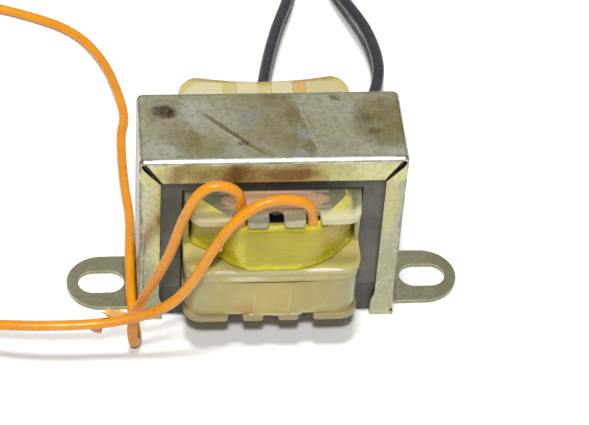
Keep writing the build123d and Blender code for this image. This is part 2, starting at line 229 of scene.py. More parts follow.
def stain(tree, centre, half_size, turn=0.0, softness=0.2, wander=0.002, grain=500.0, thin=0.3):
    """A patch mask about a place on the part: its outline wanders, and it is thinner here and there."""
    values = {
        "Centre": centre, "Half Size": half_size, "Turn": -math.radians(turn), "Softness": softness,
        "Wander": wander, "Grain": grain, "Thin": thin,
    }
    return add_node(tree, "ShaderNodeGroup", values, node_tree=stain_group).outputs["Mask"]


def plate_steel(name, grey, dark, pale):
    """Rolled steel in three shades of its oxide coat, fine upright scratches, and a painted lip shadow.
    """
    material, tree, shader = new_material(name, metallic=0.55)
    clouds = mottle(tree, 260, low=0.35, high=0.68)
    scratches = mottle(tree, 500, low=0.6, high=0.68, stretch=(8, 1, 0.5), detail=4)
    grain = mottle(tree, 2500, low=0.3, high=0.7)
    # Painted shadow on the top yoke, where the clamp's top lip overhangs it.
    painted_lip_shadow = stain(tree, lip_shade, lip_shade_half_size, softness=0.5, wander=0.0006, thin=0)
    colour = tint(tree, clouds, grey, dark, share=0.5)
    colour = tint(tree, scratches, colour, pale, share=0.3)
    colour = tint(tree, painted_lip_shadow, colour, lip_shadow_brown, share=0.5)
    tree.links.new(colour, shader.inputs["Base Color"])
    tree.links.new(spread(tree, clouds, low=0.42, high=0.58), shader.inputs["Roughness"])
    raise_surface(tree, shader, [(grain, 0.000008), (scratches, 0.000004)])
    return material


# Place and size of the painted shadow under the clamp's top lip.
window_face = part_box("e_laminations_yoke_up")[0].y
window_top = 0.0298
lip_shade = (0, window_face, window_top)
lip_shade_half_size = (0.0150, 0.002, 0.0010)
lip_shadow_brown = srgb(58, 50, 47)
steel = plate_steel("electrical_steel", srgb(101, 99, 91), srgb(82, 80, 74), srgb(126, 124, 116))
dark_steel = plate_steel("dark_electrical_steel", srgb(80, 78, 72), srgb(62, 60, 56), srgb(106, 104, 98))
for node in ("e_laminations_yoke_up", "e_laminations_yoke_down", "i_laminations_top"):
    dress(node, steel)
dress("i_laminations_bottom", dark_steel)


# Clamp: one sheet of zinc-plated, yellow-passivated steel, folded over the core with mitred lips.
# Its plating has gone olive and brown in patches, and its cut edges are worn bright.
# Its top fold has a painted highlight, and its side walls and mitre slots painted shade.
def add_piece(name, shape, material, slot, *replaced):
    """Make a finished mesh a piece of the part, in the place of the solids that it stands for."""
    for face in shape.faces:
        face.smooth = True
    mesh = bpy.data.meshes.new(name)
    shape.to_mesh(mesh)
    shape.free()
    mesh.materials.append(material)
    piece = bpy.data.objects.new(name, mesh)
    bpy.context.scene.collection.objects.link(piece)
    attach(piece, "root")
    if replaced:
        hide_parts(*replaced)
    return piece


def edged_copy(name, node, material, slot, edge_break, bend=None):
    """A solid with its sharp edges broken and its points moved by a bend, which then stands for it."""
    weld = 1e-6
    flat_turn = math.radians(0.5)
    sharp_turn = math.radians(38)
    shape = bmesh.new()
    shape.from_mesh(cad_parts[node].data)
    bmesh.ops.remove_doubles(shape, verts=shape.verts, dist=weld)
    bmesh.ops.dissolve_limit(shape, angle_limit=flat_turn, verts=shape.verts, edges=shape.edges)
    sharp = [edge for edge in shape.edges if edge.is_manifold and edge.calc_face_angle() > sharp_turn]
    bmesh.ops.bevel(
        shape, geom=sharp, offset=edge_break, offset_type="OFFSET", affect="EDGES",
        segments=2, profile=0.5, material=-1, clamp_overlap=True,
    )
    if bend:
        for vert in shape.verts:
            bend(vert.co)
    piece = add_piece(name, shape, material, slot, node)
    even = piece.modifiers.new("even_shading", "WEIGHTED_NORMAL")
    even.keep_sharp = True
    return piece


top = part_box("clamp_frame")[1].z
sheet_reach = 0.01
lip_face = -0.00835
slot_x = 0.0197
slot_y = 0.0077
slot_z = 0.0339
slot_half_size = (0.0024, 0.0004, 0.0017)
foot_x = 0.0275
cut_edge_half_size = (0.0058, 0.05, 0.00070)
zinc, tree, shader = new_material("tarnished_zinc", metallic=1.0)
zinc_grey = srgb(219, 215, 192)
zinc_pale = srgb(236, 234, 222)
zinc_green = srgb(204, 200, 164)
lip_green = srgb(153, 152, 122)
lip_pale = srgb(172, 171, 148)
side_wall_shade = srgb(110, 108, 94)
lip_yellow = srgb(206, 198, 118)
top_lip_olive = srgb(184, 172, 108)
top_lip_yellow = srgb(200, 198, 142)
foot_grey = srgb(170, 166, 134)
foot_edge = srgb(108, 104, 84)
olive = srgb(168, 154, 88)
olive_brown = srgb(128, 108, 52)
tea_brown = srgb(138, 92, 40)
purple_brown = srgb(74, 48, 42)
blue_grey = srgb(196, 198, 208)
grime = srgb(150, 144, 112)
slot_shadow = srgb(36, 32, 26)
clouds = mottle(tree, 160, low=0.38, high=0.62)
pits = mottle(tree, 2200, low=0.66, high=0.74)
colour = tint(tree, clouds, zinc_grey, zinc_green, share=0.7)
for x, y, half_x, half_y, turn, over, share in (
    (-0.0166, 0.0030, 0.0042, 0.0034, -30, olive, 0.60),
    (-0.0122, -0.0046, 0.0066, 0.0028, -35, olive, 0.70),
    (-0.0140, -0.0030, 0.0030, 0.0014, -35, olive_brown, 0.35),
    (-0.0000, -0.0010, 0.0220, 0.0054, -77.8, olive, 0.62),
    (0.0013, 0.0020, 0.0080, 0.0032, -77.8, olive_brown, 0.35),
    (-0.0124, 0.0034, 0.0032, 0.0024, -40, zinc_pale, 0.85),
    (-0.0182, -0.0056, 0.0022, 0.0020, 0, zinc_pale, 0.40),
    (-0.0033, 0.0024, 0.0022, 0.0020, 20, blue_grey, 0.55),
    (0.0114, -0.0050, 0.0026, 0.0014, 0, tea_brown, 0.22),
    (0.0190, -0.0068, 0.0026, 0.0010, 0, zinc_pale, 0.60),
):
    half_size = (half_x, half_y, sheet_reach)
    mask = stain(tree, (x, y, top), half_size, turn, softness=0.3, wander=0.006, grain=260, thin=0.6)
    colour = tint(tree, mask, colour, over, share)
for x, y, half_x, half_y, over, share in (
    (0.0180, 0.0006, 0.0053, 0.00583, olive_brown, 0.70),
    (0.0188, 0.0014, 0.0049, 0.00539, olive, 0.80),
):
    half_size = (half_x, half_y, sheet_reach)
    mask = stain(tree, (x, y, top), half_size, softness=0.22, wander=0.0034, grain=520, thin=0.6)
    colour = tint(tree, mask, colour, over, share)
for x, y, half_x, half_y, turn, over, share in (
    (0.0010, 0.0068, 0.0024, 0.0008, 0, olive_brown, 0.55),
    (0.0035, 0.0024, 0.0012, 0.0026, 0, olive_brown, 0.40),
    (0.0056, -0.0053, 0.0012, 0.0017, 0, olive_brown, 0.65),
    (-0.0047, -0.0040, 0.0009, 0.0006, -20, purple_brown, 0.80),
    (0.0154, 0.0013, 0.0008, 0.0016, 15, purple_brown, 0.45),
    (0.0163, -0.0018, 0.0011, 0.0007, 0, purple_brown, 0.55),
    (0.0107, 0.0064, 0.0010, 0.0006, -20, olive_brown, 0.90),
    (0.0050, -0.0022, 0.0012, 0.0011, 0, blue_grey, 0.85),
    (0.0037, -0.0066, 0.0016, 0.0008, 0, blue_grey, 0.85),
    (-0.0081, -0.0069, 0.0010, 0.0005, 0, blue_grey, 0.70),
    (-0.0170, 0.0035, 0.0021, 0.0014, -25, purple_brown, 1.0),
    (-0.0166, 0.0033, 0.0014, 0.0009, -25, purple_brown, 0.7),
    (-0.0048, -0.0041, 0.0007, 0.0005, 0, purple_brown, 0.7),
):
    half_size = (half_x, half_y, sheet_reach)
    mask = stain(tree, (x, y, top), half_size, turn, softness=0.35, wander=0.0022, grain=900, thin=0.4)
    colour = tint(tree, mask, colour, over, share)
for x, y, half_x, half_y, turn, over, share in (
    (0.0057, 0.0000, 0.0079, 0.00022, -77.8, zinc_pale, 0.55),
    (-0.0073, -0.0008, 0.0050, 0.00042, -46.7, olive_brown, 0.95),
    (-0.0026, -0.0057, 0.0024, 0.00036, -44, olive_brown, 0.60),
    (-0.0066, -0.0026, 0.0040, 0.00018, -46.7, zinc_pale, 0.55),
    (-0.0010, -0.0052, 0.0030, 0.00016, -46.7, zinc_pale, 0.40),
):
    half_size = (half_x, half_y, sheet_reach)
    mask = stain(tree, (x, y, top), half_size, turn, softness=0.5, wander=0.0005, grain=600, thin=0.3)
    colour = tint(tree, mask, colour, over, share)
for centre, half_size, over, share in (
    ((0, lip_face, 0.015), (0.06, 0.0010, 0.06), lip_green, 0.95),
    ((0, -lip_face, 0.015), (0.06, 0.0010, 0.06), lip_green, 0.95),
    ((0, lip_face, 0.030), (0.06, 0.0010, 0.0150), lip_pale, 0.80),
    ((0, -lip_face, 0.030), (0.06, 0.0010, 0.0150), lip_pale, 0.80),
    # Painted shade: the side walls are darkened for their dim grazing reflection.
    ((-0.0215, 0, 0.0190), (0.0006, 0.05, 0.0170), side_wall_shade, 0.90),
    ((0.0215, 0, 0.0190), (0.0006, 0.05, 0.0170), side_wall_shade, 0.90),
    ((-0.0196, lip_face, 0.0250), (0.0012, 0.0010, 0.0110), zinc_green, 0.75),
    ((-0.0184, lip_face, 0.0215), (0.0009, 0.0010, 0.0100), lip_yellow, 0.75),
    ((0.0190, lip_face, 0.0255), (0.0011, 0.0010, 0.0070), lip_yellow, 0.45),
    ((-0.0180, lip_face, 0.0232), (0.0006, 0.0010, 0.0011), tea_brown, 0.75),
    ((0.0000, lip_face, 0.0328), (0.0500, 0.0010, 0.0021), top_lip_yellow, 1.0),
    # Painted highlight: the front top fold is paler all along.
    ((0.0000, lip_face, top), (0.0500, 0.0009, 0.0008), zinc_pale, 0.80),
    ((-0.0120, lip_face, 0.0328), (0.0075, 0.0010, 0.0021), top_lip_olive, 0.90),
    ((-0.0035, lip_face, 0.0326), (0.0098, 0.0010, 0.0018), tea_brown, 0.45),
    ((-0.0058, lip_face, 0.0328), (0.0026, 0.0010, 0.0018), tea_brown, 0.60),
    ((0.0030, lip_face, 0.0326), (0.0044, 0.0010, 0.0012), tea_brown, 0.60),
    ((-foot_x, 0, 0.0004), (0.0058, 0.05, 0.0030), foot_grey, 0.90),
    ((foot_x, 0, 0.0004), (0.0058, 0.05, 0.0030), foot_grey, 0.90),
    ((0.0320, 0, 0.0004), (0.0028, 0.05, 0.0030), grime, 0.45),
    ((-0.0217, 0, 0.0010), (0.0008, 0.05, 0.0014), tea_brown, 0.45),
    ((0.0217, 0, 0.0010), (0.0008, 0.05, 0.0014), tea_brown, 0.45),
):
    mask = stain(tree, centre, half_size, softness=0.3, wander=0.0018, grain=420, thin=0.15)
    colour = tint(tree, mask, colour, over, share)
for x in (-foot_x, foot_x):
    sheared = stain(tree, (x, 0, 0), cut_edge_half_size, softness=0.08, wander=0.00006, thin=0.2)
    colour = tint(tree, sheared, colour, foot_edge, share=0.75)
# Painted shadow inside the four mitre slots, on their cut edges.
for x in (-slot_x, slot_x):
    for y in (-slot_y, slot_y):
        mitre_shadow = stain(tree, (x, y, slot_z), slot_half_size, softness=0.1, wander=0.0001, thin=0)
        colour = tint(tree, mitre_shadow, colour, slot_shadow, share=0.95)
colour = tint(tree, mottle(tree, 1300, low=0.44, high=0.66, detail=5), colour, grime, share=0.38)
colour = tint(tree, mottle(tree, 2600, low=0.58, high=0.7), colour, zinc_pale, share=0.35)
colour = tint(tree, pits, colour, purple_brown, share=0.45)
tree.links.new(colour, shader.inputs["Base Color"])
tree.links.new(spread(tree, clouds, low=0.26, high=0.36), shader.inputs["Roughness"])
grain = mottle(tree, 900, low=0.3, high=0.7, stretch=(1, 4, 4))
raise_surface(tree, shader, [(grain, 0.000005), (pits, -0.00001)])
edged_copy("folded_clamp", "clamp_frame", zinc, "zinc_plated_steel", edge_break=0.00012)


# Bobbin: one moulding of natural nylon, a square tube with three flanges and notches for the leads.
# Thin and milky, it lets the coils and the tape behind it show through.
nylon, tree, shader = new_material("milky_nylon", roughness=0.26)
nylon_white = srgb(212, 207, 168)
nylon_grey = srgb(208, 201, 166)
nylon_yellow = srgb(200, 182, 88)
low_flange_shade = srgb(134, 118, 70)
nylon_smoky = srgb(164, 163, 146)
nylon_pink = srgb(230, 180, 140)
nylon_tan = srgb(186, 166, 108)
nylon_cream = srgb(212, 202, 160)
nylon_glint = srgb(252, 249, 238)
film_navy = srgb(24, 36, 76)
notch_shade_navy = srgb(4, 8, 36)
colour = tint(tree, mottle(tree, 300, low=0.3, high=0.7), nylon_white, nylon_grey, share=0.5)
# Painted shade: the lower flange is coloured darker than the rest of the moulding.
low_flange = stain(
    tree, centre=(0, 0, 0.0074), half_size=(0.05, 0.05, 0.0025), softness=0.15, wander=0.0005, thin=0,
)
colour = tint(tree, low_flange, colour, low_flange_shade, share=0.85)
for centre, half_size, over, share in (
    ((0, 0, 0.0178), (0.05, 0.05, 0.0025), nylon_yellow, 0.85),
    # Painted highlight and glints along the front edge of the middle flange.
    ((0, -0.0158, 0.0181), (0.05, 0.0004, 0.0004), nylon_white, 0.70),
    ((-0.0078, -0.0157, 0.0183), (0.0018, 0.0005, 0.00025), nylon_glint, 0.90),
    ((0.0080, -0.0157, 0.0183), (0.0030, 0.0005, 0.00025), nylon_glint, 0.90),
    ((0, 0.0170, 0.0300), (0.05, 0.0090, 0.0080), nylon_cream, 0.85),
    ((0, -0.0155, 0.0290), (0.0050, 0.0030, 0.0030), nylon_smoky, 0.85),
    ((0.0028, -0.0155, 0.0290), (0.0022, 0.0030, 0.0030), nylon_white, 0.45),
    ((-0.0105, -0.0145, 0.0290), (0.0040, 0.0030, 0.0030), nylon_tan, 0.45),
    ((0.0105, 0.0165, 0.0305), (0.0040, 0.0050, 0.0040), nylon_tan, 0.50),
):
    mask = stain(tree, centre, half_size, softness=0.15, wander=0.0005)
    colour = tint(tree, mask, colour, over, share)
pad = stain(
    tree, centre=(0, -0.0108, 0.0295), half_size=(0.0088, 0.0026, 0.003),
    softness=0.1, wander=0.0003, thin=0,
)
colour = tint(tree, pad, colour, nylon_pink, share=0.9)
# Painted shade: the end wall of the middle notch is dark, so that the notch looks deeper.
notch_end = stain(
    tree, centre=(0, -0.0133, 0.0281), half_size=(0.0014, 0.0005, 0.0012),
    softness=0.12, wander=0.0002, thin=0,
)
colour = tint(tree, notch_end, colour, notch_shade_navy)
tree.links.new(colour, shader.inputs["Base Color"])
clear = stain(
    tree, centre=(0, -0.0088, 0.0290), half_size=(0.05, 0.0046, 0.0032),
    softness=0.35, wander=0.0012, thin=0,
)
opaque = spread(tree, clear, low=0.74, high=0.14)
for mask in (spread(tree, pad, low=0, high=0.42), notch_end, low_flange):
    thicker = add_node(tree, "ShaderNodeMath", operation="MAXIMUM")
    tree.links.new(opaque, thicker.inputs[0])
    tree.links.new(mask, thicker.inputs[1])
    opaque = thicker.outputs[0]
tree.links.new(opaque, shader.inputs["Alpha"])
raise_surface(tree, shader, [(mottle(tree, 700, low=0.2, high=0.8), 0.00005)])
tab_root = -0.0132
tab_reach = 0.0025
tab_half = 0.0048
tab_droop = 0.0005
flange_underside = 0.0275


def droop(point):
    """Let the two short tabs between the lead notches of the top flange hang a little."""
    if point.y < tab_root and abs(point.x) < tab_half and point.z > flange_underside:
        point.z -= tab_droop * (tab_root - point.y) / tab_reach


edged_copy("nylon_bobbin", "bobbin", nylon, "nylon", edge_break=0.00016, bend=droop)


# Window strips: two slips of the same nylon, slid in between the upper coil and the core's legs.
# They stand a little out of the windows and keep the coil from the steel.
edged_copy("window_strips", "window_liners", nylon, "nylon", edge_break=0.00010)


# Barrier: a strip of flexible film tucked under the rear apron, where its edge dips in the middle.
# It has aged to cream, with a thin line of brown along its outer edge.
amber, tree, shader = new_material("browned_film", roughness=0.3)
film_cream = srgb(184, 171, 116)
film_green = srgb(178, 166, 102)
film_amber = srgb(182, 144, 76)
film_brown = srgb(140, 92, 40)
rim_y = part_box("rear_barrier")[1].y
rim_z = 0.0312
upright = 0.05
streaks = mottle(tree, 190, low=0.42, high=0.6, stretch=(1.6, 0.2, 0.2))
spill = stain(tree, centre=(0.0058, 0.0145, 0.031), half_size=(0.0014, 0.003, 0.003))
colour = tint(tree, streaks, film_cream, film_green, share=0.8)
colour = tint(tree, spill, colour, film_amber, share=0.7)
for x, inward, half_x, half_y in (
    (0, 0, 0.06, 0.0007),
    (0, 0.0011, 0.0050, 0.0004),
    (-0.0070, 0.0007, 0.0030, 0.0004),
    (0.0070, 0.0006, 0.0034, 0.0005),
):
    half_size = (half_x, half_y, upright)
    rim = stain(tree, (x, rim_y - inward, rim_z), half_size, softness=0.5, wander=0.0010)
    colour = tint(tree, rim, colour, film_brown, share=0.6)
tree.links.new(colour, shader.inputs["Base Color"])
raise_surface(tree, shader, [(mottle(tree, 500, low=0.2, high=0.8), 0.00003)])
edged_copy("barrier_strip", "rear_barrier", amber, "amber_film", edge_break=0.00008)


# Coils: enamelled copper wound in even layers on the lower and the upper half of the bobbin.
# The lower one is taped in amber film, the upper one in dark film.
copper, tree, shader = new_material("enamelled_wire", metallic=1.0, coat_weight=0.6, coat_roughness=0.15)
copper_bright = srgb(206, 120, 66)
copper_dark = srgb(146, 70, 36)
film_black = srgb(20, 20, 28)
coil_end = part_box("secondary_winding")[1].z
turns = mottle(tree, 300, low=0.3, high=0.7, stretch=(0.2, 0.2, 14))
taped_end = stain(tree, centre=(0, 0, coil_end), half_size=(0.05, 0.05, 0.0016), thin=0)
colour = tint(tree, turns, copper_bright, copper_dark)
colour = tint(tree, taped_end, colour, film_navy)
tree.links.new(colour, shader.inputs["Base Color"])
tree.links.new(spread(tree, turns, low=0.25, high=0.4), shader.inputs["Roughness"])
raise_surface(tree, shader, [(turns, 0.00008)])
dress("primary_winding", copper)
wrap_low, wrap_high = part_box("secondary_tape")
wrap_height = wrap_high.z - wrap_low.z
half_front = 0.0071
half_side = 0.0086
coil_sunk = 0.0009
coil_slack = 0.06
left_shift = 0.0009
left_draw = 0.0016
right_draw = 0.0028
draw_power = 4


def draw_in(point):
    """Draw the front corners of the upper coil in towards its foot, where the wire was laid last."""
    from_top = (wrap_high.z - point.z) / wrap_height
    forward = min(max((-half_side - point.y) / (-half_side - wrap_low.y), 0), 1)
    across = min(max((point.x + half_front) / (2 * half_front), 0), 1)
    left_move = left_shift + left_draw * from_top ** draw_power
    right_move = -right_draw * from_top ** draw_power
    point.x += forward * (left_move * (1 - across) + right_move * across)


def sink_coil(point):
    """Draw in the coil under the wrap, and leave room above it for the wrap's folded edge."""
    if point.y < -half_side:
        point.x *= 1 - coil_slack * (wrap_high.z - point.z) / wrap_height
    draw_in(point)
    if point.z > wrap_low.z + wrap_height / 2:
        point.z -= coil_sunk


edged_copy(
    "upper_coil", "secondary_winding", copper, "enamelled_copper", edge_break=0.00008, bend=sink_coil,
)
dark_film, tree, shader = new_material("dark_film", coat_weight=0.5, coat_roughness=0.1)
wrinkles = mottle(tree, 600, low=0.3, high=0.7, stretch=(1, 1, 4))
tree.links.new(tint(tree, wrinkles, film_navy, film_black), shader.inputs["Base Color"])
tree.links.new(spread(tree, wrinkles, low=0.2, high=0.4), shader.inputs["Roughness"])
edged_copy(
    "dark_wrap", "secondary_inner_tape", dark_film, "dark_film", edge_break=0.00004, bend=sink_coil,
)
dress("primary_tape", amber)


# Joints: the ends of the coils twisted round the strands of the leads and soldered.
# They are dull lumps of solder, hidden under the wraps.
solder, tree, shader = new_material("dull_solder", metallic=1.0)
solder_pale = srgb(176, 176, 178)
solder_dull = srgb(120, 120, 124)
lumps = mottle(tree, 1500, low=0.3, high=0.7)
tree.links.new(tint(tree, lumps, solder_pale, solder_dull), shader.inputs["Base Color"])
tree.links.new(spread(tree, lumps, low=0.3, high=0.55), shader.inputs["Roughness"])
raise_surface(tree, shader, [(lumps, 0.00006)])
for node in ("primary_splices", "secondary_splices"):
    dress(node, solder)


# Cover band: a strip of thicker nylon wrapped round the lower coil, lapped and welded at the front.
# Its upper rim stands out in two ridges with painted highlights, and it has yellowed unevenly.
band, tree, shader = new_material(
    "yellowed_nylon", roughness=0.16,
    subsurface_weight=0.3, subsurface_scale=0.0008, subsurface_radius=(1.0, 0.8, 0.5),
)
band_cream = srgb(182, 167, 100)
band_olive = srgb(164, 150, 84)
band_grey = srgb(158, 150, 108)
band_tan = srgb(184, 163, 90)
band_pale = srgb(206, 198, 158)
band_brown = srgb(180, 122, 60)
band_white = srgb(226, 222, 206)
cover_low, cover_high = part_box("primary_cover")
half_lap = 0.0029
lap_z = 0.0115
corner_z = 0.0125
upper_ridge = 0.0180
lower_ridge = 0.0164
ridge_half_size = (0.0120, 0.003, 0.0005)
colour = tint(tree, mottle(tree, 170, low=0.35, high=0.65), band_cream, band_olive, share=0.6)
for x, half_x in ((cover_low.x, 0.0048), (cover_high.x, 0.0062)):
    half_size = (half_x, 0.02, 0.02)
    corner = stain(tree, (x, cover_low.y, corner_z), half_size, softness=0.6, wander=0.003, grain=300)
    colour = tint(tree, corner, colour, band_grey, share=0.75)
colour = tint(tree, mottle(tree, 380, low=0.5, high=0.8), colour, band_pale, share=0.2)
middle = stain(
    tree, centre=(0, cover_low.y, lap_z), half_size=(half_lap, 0.002, 0.0080),
    softness=0.08, wander=0.0003,
)
colour = tint(tree, middle, colour, band_tan, share=0.6)
# Painted highlights along the two ridges of the rim.
for z, share in ((upper_ridge, 0.55), (lower_ridge, 0.65)):
    wear_and_highlight = stain(tree, (0, cover_low.y, z), ridge_half_size, softness=0.6, wander=0.0008, thin=0.8)
    colour = tint(tree, wear_and_highlight, colour, band_pale, share)
# A painted glint on the lower ridge, and the pale flash along the lower edge.
for x, z, half_x, half_z, over, share in (
    (-0.0042, lower_ridge, 0.0024, 0.0005, band_white, 0.60),
    (0, cover_low.z, 0.0500, 0.0004, band_pale, 0.60),
):
    half_size = (half_x, 0.003, half_z)
    glint_and_flash_edge = stain(
        tree, (x, cover_low.y, z), half_size, softness=0.5, wander=0.0007, grain=900, thin=0.5,
    )
    colour = tint(tree, glint_and_flash_edge, colour, over, share)
# The lap lines are pale, partly the weld and partly painted light over the shade in their gaps.
for x in (-half_lap, half_lap):
    half_size = (0.00018, 0.002, 0.0042)
    lap = stain(tree, (x, cover_low.y, lap_z), half_size, softness=0.5, wander=0.0002, grain=800)
    colour = tint(tree, lap, colour, band_pale, share=0.5)
burn = stain(tree, centre=(-0.0045, -0.0153, 0.0092), half_size=(0.0022, 0.001, 0.0012), softness=0.6)
colour = tint(tree, burn, colour, band_brown, share=0.6)
tree.links.new(colour, shader.inputs["Base Color"])
raise_surface(tree, shader, [(mottle(tree, 400, low=0.2, high=0.8), 0.00005)])
edged_copy("cover_band", "primary_cover", band, "nylon", edge_break=0.0002)


# Flash: a thin ragged skirt of nylon, squeezed out under the front of the cover band as it was moulded.
# It lies on the lower flange and curls over the flange's edge.
flash_left = -0.0036
flash_right = 0.0050
flash_width = 0.0003
flash_thickness = 0.00012
flash_lift = 0.00008
ledge_y = -0.01525
ledge_z = cover_low.z + flash_lift
tear_scale = 900
tear_row = 4
fine_tear_scale = 2600
fine_tear_row = 9
tear_reach = 0.00034
tear_curl = 0.00022
lump_x = 0.0013
lump_half = 0.0011
lump_reach = 0.0004
lump_curl = 0.0003
shape = bmesh.new()
bmesh.ops.create_grid(shape, x_segments=60, y_segments=3, size=0.5)
bmesh.ops.scale(shape, vec=(flash_right - flash_left, flash_width, 1), verts=shape.verts)
bmesh.ops.translate(shape, vec=((flash_left + flash_right) / 2, ledge_y, ledge_z), verts=shape.verts)
for vert in shape.verts:
    outward = (ledge_y + flash_width / 2 - vert.co.y) / flash_width
    tear = noise.noise(Vector((vert.co.x * tear_scale, tear_row, 0)))
    tear += noise.noise(Vector((vert.co.x * fine_tear_scale, fine_tear_row, 0))) / 2
    lump = math.exp(-((vert.co.x - lump_x) / lump_half) ** 2)
    vert.co.y -= outward * (tear_reach * tear + lump_reach * lump)
    vert.co.z += outward ** 2 * (lump_curl * lump + tear_curl * tear)
bmesh.ops.solidify(shape, geom=shape.faces[:], thickness=flash_thickness)
bmesh.ops.recalc_face_normals(shape, faces=shape.faces)
flash, tree, shader = new_material("pale_flash", roughness=0.2)
flash_pale = srgb(206, 198, 164)
flash_dull = srgb(172, 162, 118)
curls = mottle(tree, 900, low=0.35, high=0.65)
tree.links.new(tint(tree, curls, flash_pale, flash_dull), shader.inputs["Base Color"])
raise_surface(tree, shader, [(curls, 0.00003)])
add_piece("moulding_flash", shape, flash, "nylon")


# Yellow wrap: two turns of glossy polyester tape pulled tight round the upper coil and the lead joints.
# It shows the wire under it as fine level creases, and its lower edge is crumpled on the flange.
tape, tree, shader = new_material("yellow_tape", coat_weight=0.15, coat_roughness=0.08)
tape_yellow = srgb(180, 168, 6)
tape_olive = srgb(160, 148, 8)
tape_orange = srgb(200, 148, 40)
tape_highlight = srgb(226, 214, 36)
creases = mottle(tree, 350, low=0.35, high=0.65, stretch=(0.6, 0.6, 9), detail=2)
colour = tint(tree, mottle(tree, 150, low=0.35, high=0.65), tape_yellow, tape_olive, share=0.6)
colour = tint(tree, creases, colour, tape_olive, share=0.4)
# Painted highlights on the ridge over the left lead and along the top and bottom edges.
for centre, half_size, over, share in (
    ((0.0095, -0.0140, 0.0245), (0.0024, 0.004, 0.003), tape_orange, 0.5),
    ((-0.0055, wrap_low.y, 0.0215), (0.0008, 0.001, 0.0040), tape_highlight, 0.55),
    ((0, 0, wrap_low.z), (0.05, 0.05, 0.0010), tape_highlight, 0.6),
    ((0, 0, wrap_high.z), (0.05, 0.05, 0.0008), tape_highlight, 0.5),
):
    mask = stain(tree, centre, half_size, softness=0.5, wander=0.0016)
    colour = tint(tree, mask, colour, over, share)
tree.links.new(colour, shader.inputs["Base Color"])
tree.links.new(spread(tree, creases, low=0.24, high=0.4), shader.inputs["Roughness"])
raise_surface(tree, shader, [(creases, 0.00002)])
front_round = 0.0016
side_round = 0.0006
tape_thickness = 0.0002
rows = 31
columns = 29
long_edge = 0.004
shape = bmesh.new()
outline = [
    (half_front, wrap_low.y),
    (wrap_high.x, -half_side),
    (wrap_high.x, half_side),
    (half_front, wrap_high.y),
    (-half_front, wrap_high.y),
    (wrap_low.x, half_side),
    (wrap_low.x, -half_side),
    (-half_front, wrap_low.y),
]
corners = [shape.verts.new((x, y, wrap_low.z)) for x, y in outline]
shape.faces.new(corners)
front = [vert for vert in corners if abs(vert.co.y) > half_side + side_round]
side = [vert for vert in corners if vert not in front]
for rounded, offset in ((front, front_round), (side, side_round)):
    bmesh.ops.bevel(
        shape, geom=rounded, offset=offset, offset_type="OFFSET", affect="VERTICES",
        segments=4, profile=0.5, material=-1,
    )
bmesh.ops.delete(shape, geom=shape.faces[:], context="FACES_ONLY")
wall = bmesh.ops.extrude_edge_only(shape, edges=shape.edges[:])["geom"]
raised = [item for item in wall if isinstance(item, bmesh.types.BMVert)]
bmesh.ops.translate(shape, verts=raised, vec=(0, 0, wrap_height))
for upright, cuts in ((True, rows), (False, columns)):
    cut = []
    for edge in shape.edges:
        start, end = edge.verts
        rise = abs(start.co.z - end.co.z)
        if edge.calc_length() > long_edge and (rise > wrap_height / 2) == upright:
            cut.append(edge)
    bmesh.ops.subdivide_edges(shape, edges=cut, cuts=cuts, use_grid_fill=True)
bmesh.ops.recalc_face_normals(shape, faces=shape.faces)
shape.normal_update()
crumple_height = 0.0013
crumple_reach = 0.00042
crumple_least = 0.7
crumple_swing = 0.6
crumple_scale = 700
crumple_row = 3
crease_depth = 0.00005
crease_scale = 1500
crease_run = 120
bulge = 0.00012
bulge_scale = 300
bulge_start = 7
corner_bulge = 0.0010
fold_height = 0.0016
fold_reach = 0.0012
lead_ridge = 0.00016
lead_half = 0.0009
lead_places = (-0.0055, 0.0059)
for vert in shape.verts:
    outward = vert.normal.copy()
    if outward.dot(Vector((vert.co.x, vert.co.y, 0))) < 0:
        outward.negate()
    above = vert.co.z - wrap_low.z
    share = above / wrap_height
    x, y, z = vert.co
    crease = noise.noise(Vector((x * crease_run, y * crease_run, z * crease_scale)))
    slow = noise.noise(Vector((x * bulge_scale, y * bulge_scale, z * bulge_scale + bulge_start)))
    draw_in(vert.co)
    x, y = vert.co.xy
    beside_lead = 0
    if y < 0:
        beside_lead = max(math.exp(-((x - lead_x) / lead_half) ** 2) for lead_x in lead_places)
    corner_x = half_front - right_draw * (1 - share) ** draw_power
    along = (x - corner_x) / (wrap_high.x - corner_x)
    move = crease_depth * crease + bulge * slow * math.sin(math.pi * share)
    if y < 0 and 0 < along < 1:
        move += corner_bulge * math.sin(math.pi * along) * (1 - share) ** 2
    move += lead_ridge * beside_lead * math.sin(math.pi * share)
    if above < crumple_height:
        crumple = noise.noise(Vector((x * crumple_scale, y * crumple_scale, crumple_row)))
        move += crumple_reach * (1 - above / crumple_height) * (crumple_least + crumple_swing * crumple)
    folded = max(above - wrap_height + fold_height, 0) / fold_height
    move -= fold_reach * folded ** 2 * (1 - beside_lead)
    vert.co += outward * move
wrap = add_piece("yellow_wrap", shape, tape, "yellow_tape", "secondary_tape")
wall = wrap.modifiers.new("tape_thickness", "SOLIDIFY")
wall.thickness = tape_thickness
wall.offset = -1


# Leads: stranded wire in smooth plastic insulation, orange from the upper coil and black from the lower.
# Each leaves through a notch of the flange and ends stripped, with its tinned strands twisted together.
def lay_lead(name, node, route, diameter, material):
    """A lead as one smooth line through its route."""
    curve = bpy.data.curves.new(name, "CURVE")
    curve.dimensions = "3D"
    curve.bevel_depth = diameter / 2
    curve.bevel_resolution = 5
    curve.resolution_u = 12
    curve.use_fill_caps = True
    spline = curve.splines.new("NURBS")
    spline.points.add(len(route) - 1)
    for point, place in zip(spline.points, route):
        point.co = (*place, 1.0)
    spline.order_u = 3
    spline.use_endpoint_u = True
    curve.materials.append(material)
    piece = bpy.data.objects.new(name, curve)
    bpy.context.scene.collection.objects.link(piece)
    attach(piece, "root")
    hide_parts(node)


